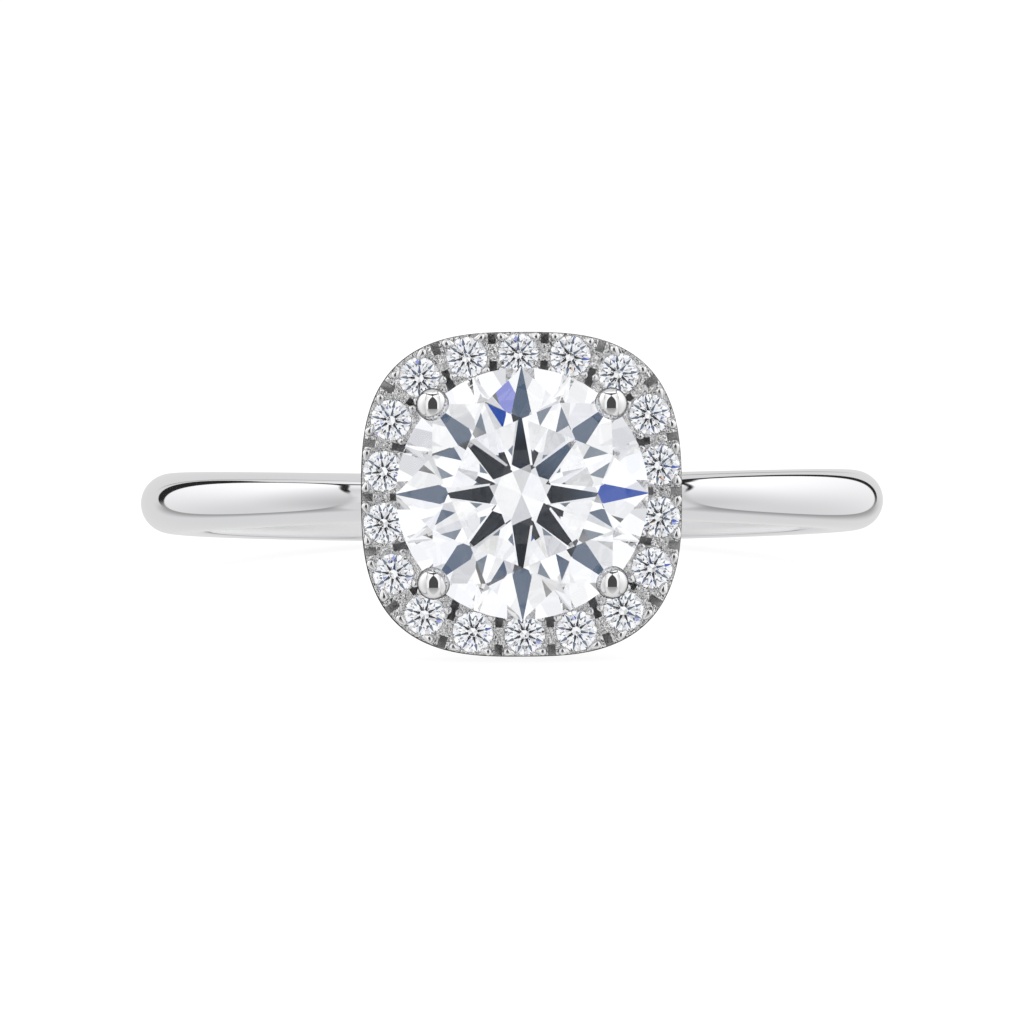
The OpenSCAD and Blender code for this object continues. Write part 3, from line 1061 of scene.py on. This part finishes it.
@dataclass
class Studio:
    """The pale floor, the soft light round the ring and the camera."""

    place: Place
    softboxes: tuple[Softbox, ...] = (
        Softbox(side=-1.0, near=52.0, far=138.0, dim=0.26),
        Softbox(side=1.0, near=53.5, far=152.0, high=61.0, corner=3.9, dim=0.13, frame=0.08,
                near_frame=0.012))
    # The gap between the softboxes, which every polished ball shows as a dark arch
    arch_half: float = 0.28
    arch_top: float = 0.47
    arch_foot: float = -0.29
    # The dark disc that the stones see round the camera and its two lighter rings: radius and colour
    lens_discs: tuple[tuple[float, str], ...] = ((16.5, "#2b3036"), (10.8, "#54647a"), (6.5, "#7c8794"))
    # Small coloured things about the room, which the stones flash with
    glints: tuple[Glint, ...] = (
        Glint(off=7.8, bearing=3.0, size=1.2, colour="#0f46a8"),
        Glint(off=13.0, bearing=84.0, size=2.0, colour="#2c3e66"),
        Glint(off=22.5, bearing=35.0, size=2.0, colour="#9aa0e4"),
        Glint(off=34.5, bearing=224.0, size=2.0, colour="#9aa0e4"),
        Glint(off=31.0, bearing=165.0, size=2.5, colour="#f0b078"))
    # Soft edge of a disc or glint, in degrees, and how many panels fit along the room's radius
    disc_edge: float = 0.6
    panels: float = 5.0
    floor_size: float = 8.0
    floor_glow: float = 0.94
    lamp_size: float = 0.6
    lamp_watts: float = 0.4
    lamp_place: Way = (0.0, -0.1, 0.6)
    # The camera: distance from the finger, its turn off the head's axis, and its framing
    distance: float = 208.2
    yaw: float = 1.13
    pitch: float = 0.85
    roll: float = 0.3
    lens: float = 266.0
    sensor: float = 36.0
    offset: tuple[float, float] = (0.0, -0.273)
    # What the camera sees lies between these distances, in metres
    sight: tuple[float, float] = (0.01, 20.0)
    # How often light is followed from surface to surface in all, and through or off one kind of surface
    bounces: int = 20
    bounces_each: int = 16

    def metal_light(self, sky: Web) -> NodeSocket:
        """Gives how bright the studio is where the metal mirrors it.

        What lies in front of the ring is drawn by its place on the face of a ball that mirrors it, from
        -1 to 1 across and up. What lies beside it is drawn in degrees.

        Args:
            sky: The world's tree.
        Returns:
            The brightness.
        """
        light = sky.number("""
            # The place on the ball, n across and v up
            n = abs(right) / sqrt(2 + 2 * max(out, -0.999))
            v = up / sqrt(2 + 2 * max(out, -0.999))
            # The room: in front white over a grey floor, and to the sides and behind a grey wall
            front = 1 - rise(a, 32, 58)
            above = rise(v, arch_foot - 0.012, arch_foot + 0.012)
            floor = (0.34 + 0.36 * rise(-v, 0.25, 0.85)
                     + 0.26 * rise(n, 0.15, 0.5) * (1 - rise(-v, 0.5, 0.9)))
            wall = 0.75 + 0.25 * rise(h, 40, 60) * (1 - rise(a, 100, 150))
            room = front * (above + (1 - above) * floor) + (1 - front) * wall
            # The arch, nearly black with a slightly lighter middle
            half = arch_half * (1 - (max(v, 0) / arch_top) ** 2.2)
            arch = above * (1 - rise(n, half - 0.01, half + 0.01)) * (v < arch_top)
            dark = 0.02 + 0.05 * (1 - rise(n, half - 0.07, half - 0.03))
            # The black stand over the arch: its neck, and its arms that widen up to the ceiling's edge
            neck = ((1 - rise(n, 0.01, 0.03)) * rise(v, arch_top - 0.05, arch_top - 0.03)
                    * (1 - rise(v, 0.63, 0.66)))
            ceiling = 0.605 + 0.0000042 * a * a
            arm = 0.28 * rise(v, 0.5, 0.62)
            arms = (1 - rise(n, arm, arm + 0.03)) * rise(v, 0.5, 0.53) * (v < ceiling)
            # The ceiling's dark edge, and the brighter ceiling past it
            edge = (rise(v, ceiling - 0.03, ceiling - 0.02) * (1 - rise(v, ceiling + 0.01, ceiling + 0.02))
                    * (1 - rise(a, 100, 125)))
            cap = rise(v, ceiling + 0.01, ceiling + 0.03) * (1 - rise(a, 85, 125))
            ((room * (1 - arch) + dark * arch + 0.2 * cap)
             * (1 - 0.98 * max(neck, arms)) * (1 - 0.8 * edge))
            """, **vars(self))
        for softbox in self.softboxes:
            light = softbox.over(sky, light)
        return light

    def stone_light(self, sky: Web) -> NodeSocket:
        """Gives the colour of the studio where the stones throw it back.

        Args:
            sky: The world's tree.
        Returns:
            The colour.
        """
        panels = sky.node("ShaderNodeTexVoronoi", {"Vector": sky.names["way"], "Scale": self.panels},
                          feature="F1")
        split = sky.node("ShaderNodeSeparateXYZ", {0: panels.outputs["Color"]})
        tones = sky.numbers("""
            # Panels of many tones. Some past 50 degrees off the axis are nearly dark, and all fade there
            off = deg(acos(out))
            level = ((1.18 - 0.42 * one ** 1.8) * (1 - 0.85 * (three < 0.22) * rise(off, 50, 54))
                     * (1 - 0.35 * rise(off, 55, 88)))
            cool = two * 0.6
            """, **dict(zip(("one", "two", "three"), split.outputs)))
        cool = sky.blend(tones["cool"], WHITE, linear("#dce0ec"))
        colour = sky.node("ShaderNodeVectorMath", {0: cool, "Scale": tones["level"]},
                          operation="SCALE").outputs[0]
        past = self.angle_from(sky, self.camera_way())
        for radius, tone in self.lens_discs:
            colour = self.laid(sky, colour, past, radius, tone)
        for glint in self.glints:
            colour = self.laid(sky, colour, self.angle_from(sky, glint.way()), glint.size, glint.colour)
        return colour

    def camera_way(self) -> Way:
        """Gives the direction from the ring to the camera in the ring's own axes."""
        yaw, pitch = math.radians(self.yaw), math.radians(self.pitch)
        return (-math.sin(yaw) * math.cos(pitch), -math.sin(pitch), math.cos(yaw) * math.cos(pitch))

    def along(self, sky: Web, fixed: Vector) -> NodeSocket:
        """Gives how far a ray's direction points along a fixed one of the part's frame."""
        return sky.node("ShaderNodeVectorMath", {0: sky.names["way"], 1: tuple(fixed)},
                        operation="DOT_PRODUCT").outputs["Value"]

    def angle_from(self, sky: Web, fixed: Way) -> NodeSocket:
        """Gives the degrees between a ray's direction and a fixed one in the ring's own axes."""
        toward = sum((self.place.axis(i) * share for i, share in enumerate(fixed)), Vector((0, 0, 0)))
        return sky.number("deg(acos(min(near, 1)))", near=self.along(sky, toward.normalized()))

    def laid(self, sky: Web, behind: NodeSocket, angle: NodeSocket, radius: float, tone: str) -> NodeSocket:
        """Lays a disc of one colour over what is behind it.

        Args:
            sky: The world's tree.
            behind: The colour behind the disc.
            angle: Degrees away from the disc's middle.
            radius: The disc's radius in degrees.
            tone: The disc's colour.
        Returns:
            The colour with the disc.
        """
        share = sky.number("1 - rise(angle, radius, radius + edge)", angle=angle, radius=radius,
                           edge=self.disc_edge)
        return sky.blend(share, behind, linear(tone))

    def build_light(self) -> None:
        """Builds the studio's light: soft and even for the floor, and shaped where it is mirrored."""
        world = bpy.data.worlds.new("studio")
        bpy.context.scene.world = world
        world.use_nodes = True
        world.cycles.sampling_method = "NONE"
        sky = Web(world.node_tree)
        sky.tree.nodes.clear()
        sky.names["way"] = sky.node("ShaderNodeTexCoord").outputs["Generated"]
        for i, name in enumerate(("right", "up", "out")):
            sky.names[name] = self.along(sky, self.place.axis(i))
        # The direction in degrees: a round from the head's axis, 0 to 180 on either side, and h up
        sky.names = sky.numbers("""
            a = deg(atan2(abs(right), out))
            h = deg(asin(up))
            """)
        path = sky.node("ShaderNodeLightPath")
        lights = (("Is Glossy Ray", self.metal_light(sky)), ("Is Transmission Ray", self.stone_light(sky)))
        seen = sky.node("ShaderNodeBackground", {0: WHITE, 1: 1.0})
        # Mixed as shaders, so that only the light that a ray needs is worked out
        for ray, colour in lights:
            light = sky.node("ShaderNodeBackground", {0: colour, 1: 1.0})
            seen = sky.node("ShaderNodeMixShader", {0: path.outputs[ray], 1: seen, 2: light})
        sky.node("ShaderNodeOutputWorld", {0: seen})

    def build_floor(self) -> None:
        """Lays the pale floor, a light table that the metal and the stones don't mirror."""
        mesh = bpy.data.meshes.new("floor")
        half = self.floor_size / 2
        mesh.from_pydata([(-half, -half, 0), (half, -half, 0), (half, half, 0), (-half, half, 0)], [],
                         [(0, 1, 2, 3)])
        # Opal acrylic, moulded smooth and lit from below, so that hardly any shadow falls on it
        mesh.materials.append(principled("opal_acrylic", {
            "Base Color": linear("#6a6a6a"), "Roughness": 0.9, "Specular IOR Level": 0.0,
            "Emission Color": WHITE, "Emission Strength": self.floor_glow}))
        floor = shown("floor", mesh)
        floor.visible_glossy = False
        floor.visible_transmission = False

    def build_lamp(self) -> None:
        """Hangs one large soft lamp over the floor."""
        lamp = bpy.data.lights.new("overhead", "AREA")
        lamp.shape = "SQUARE"
        lamp.size = self.lamp_size
        lamp.energy = self.lamp_watts
        holder = shown("overhead", lamp)
        holder.location = self.lamp_place
        holder.visible_glossy = False
        holder.visible_transmission = False

    def build_camera(self) -> None:
        """Sets the camera in front of the head."""
        roll = math.radians(self.roll)
        back = Vector(self.camera_way())
        right = Vector((0, 1, 0)).cross(back).normalized()
        up = back.cross(right)
        right, up = right * math.cos(roll) - up * math.sin(roll), right * math.sin(roll) + up * math.cos(roll)
        eye = back * self.distance + right * self.offset[0] + up * self.offset[1]
        turn = self.place.matrix.to_3x3() * (1 / MM) @ Matrix((right, up, back)).transposed()
        data = bpy.data.cameras.new("camera")
        data.lens = self.lens
        data.sensor_width = self.sensor
        data.clip_start, data.clip_end = self.sight
        camera = shown("camera", data)
        camera.matrix_world = Matrix.Translation(self.place.matrix @ eye) @ turn.to_4x4()
        bpy.context.scene.camera = camera

    def develop(self) -> None:
        """Sets how light paths and tones are worked out, for stones that light crosses many times."""
        bpy.context.scene.view_settings.view_transform = "Standard"
        cycles = bpy.context.scene.cycles
        cycles.max_bounces = self.bounces
        cycles.transmission_bounces = cycles.glossy_bounces = self.bounces_each
        cycles.caustics_reflective = cycles.caustics_refractive = False
        cycles.use_denoising = True

    def build(self) -> None:
        """Sets up the whole studio."""
        self.build_light()
        self.build_floor()
        self.build_lamp()
        self.build_camera()
        self.develop()


def main() -> None:
    """Builds the ring's pieces in order, then the studio round them."""
    logging.basicConfig(level=logging.INFO, format="%(message)s")
    finger = next(m for m in frame["record"]["mounts"] if m["name"] == "finger")
    place = Place.round_bore(finger)
    finishes = Finishes(place)
    centre_low, centre_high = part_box("centre_stone")
    shank = Shank(bore_r=finger["dims"]["r_mm"], finishes=finishes)
    head = Head(crest_r=shank.crest_r, centre_d=(centre_high.x - centre_low.x) / MM)
    shank.build()
    Basket(head, finishes).build()
    Halo(head, finishes).build()
    Stones(finishes, frame["nodes"]).dress()
    Studio(place).build()


if __name__ == "__main__":
    main()
